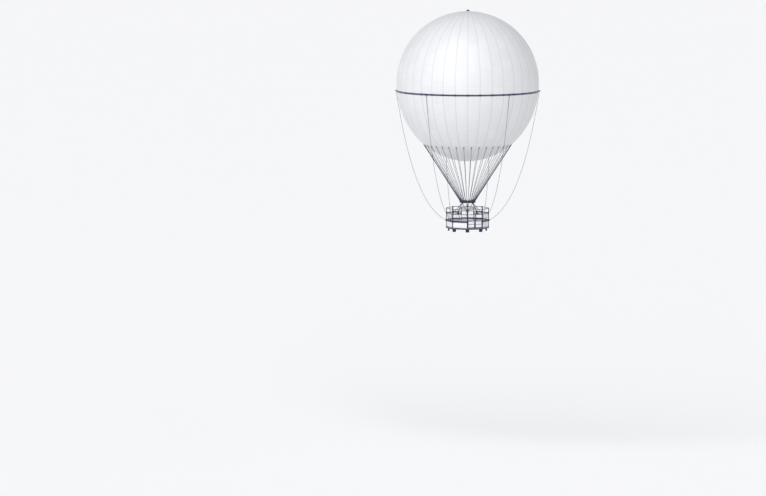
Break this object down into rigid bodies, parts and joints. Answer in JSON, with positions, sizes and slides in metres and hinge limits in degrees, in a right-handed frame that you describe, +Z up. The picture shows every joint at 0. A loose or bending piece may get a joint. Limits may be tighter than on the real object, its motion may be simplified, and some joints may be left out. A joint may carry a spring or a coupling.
{
  "type": "tethered passenger balloon",
  "caption": "Tethered gas balloon: round fabric envelope with crown valve, fan of suspension lines, load ring with tether swivel, and an octagonal ring gondola with gates for passengers.",
  "frame": {"origin": "centre of the envelope's widest circle", "axes": "+Z up along the balloon's axis, -Y towards the front corner of the gondola, +X to the right seen from the front"},
  "size_m": [22.64, 22.3, 34.5727],
  "materials": {
    "envelope_fabric": "coated fabric, satin",
    "girdle_webbing": "woven load tape, navy",
    "rope": "braided rope, navy",
    "panel_white": "white paint, satin",
    "frame_steel": "navy paint, satin",
    "bare_steel": "galvanised",
    "alloy": "machined",
    "decking": "non-slip plate",
    "rubber": "matte"
  },
  "bodies": {
    "airframe": {"crown_valve_seat": "alloy", "envelope": "envelope_fabric", "floor_deck": "decking", "floor_frame": "frame_steel", "foot_1": "rubber", "foot_2": "rubber", "foot_3": "rubber", "foot_4": "rubber", "foot_5": "rubber", "foot_6": "rubber", "foot_7": "rubber", "foot_8": "rubber", "gate_frame": "frame_steel", "girdle": "girdle_webbing", "handling_rope_1": "rope", "handling_rope_2": "rope", "handling_rope_3": "rope", "handling_rope_4": "rope", "handling_rope_5": "rope", "handling_rope_6": "rope", "hanger_legs_1": "frame_steel", "hanger_legs_2": "frame_steel", "hanger_legs_3": "frame_steel", "hanger_legs_4": "frame_steel", "load_ring": "frame_steel", "portal_1": "frame_steel", "portal_2": "frame_steel", "portal_3": "frame_steel", "portal_4": "frame_steel", "portal_5": "frame_steel", "portal_6": "frame_steel", "portal_7": "frame_steel", "portal_8": "frame_steel", "rub_rail": "frame_steel", "side_1": "frame_steel", "side_2": "frame_steel", "side_3": "frame_steel", "side_4": "frame_steel", "side_5": "frame_steel", "side_6": "frame_steel", "side_7": "frame_steel", "suspension_lines_1": "rope", "suspension_lines_2": "rope", "suspension_lines_3": "rope", "suspension_lines_4": "rope", "suspension_lines_5": "rope", "suspension_lines_6": "rope", "suspension_lines_7": "rope", "suspension_lines_8": "rope", "suspension_lines_9": "rope", "tether_cross": "frame_steel", "top_ring": "frame_steel", "well_ring": "frame_steel", "well_wall": "panel_white"},
    "valve_lid": {"crown_valve_lid": "frame_steel"},
    "gate_left": {"gate_left": "panel_white"},
    "gate_right": {"gate_right": "panel_white"},
    "joint_spider": {"joint_spider": "bare_steel"},
    "joint_yoke": {"joint_yoke": "frame_steel"},
    "tether": {"tether_pennant": "bare_steel"}
  },
  "joints": [
    {"name": "valve_lift", "type": "slide", "parent": "airframe", "child": "valve_lid", "axis": [0, 0, 1], "range_m": [0, 0.1]},
    {"name": "gate_left_hinge", "type": "hinge", "parent": "airframe", "child": "gate_left", "pos_m": [0.10983, -3.22204, -21.922], "axis": [0, 0, 1], "range_deg": [0, 90]},
    {"name": "gate_right_hinge", "type": "hinge", "parent": "airframe", "child": "gate_right", "pos_m": [2.20067, -2.35598, -21.922], "axis": [0, 0, -1], "range_deg": [0, 90]},
    {"name": "tether_pitch", "type": "hinge", "parent": "airframe", "child": "joint_spider", "pos_m": [0, 0, -19.05], "axis": [1, 0, 0], "range_deg": [-10, 10]},
    {"name": "tether_roll", "type": "hinge", "parent": "joint_spider", "child": "joint_yoke", "pos_m": [0, 0, -19.05], "axis": [0, 1, 0], "range_deg": [-10, 10]},
    {"name": "tether_swivel", "type": "hinge", "parent": "joint_yoke", "child": "tether", "pos_m": [0, 0, -19.6], "axis": [0, 0, 1], "continuous": true}
  ]
}
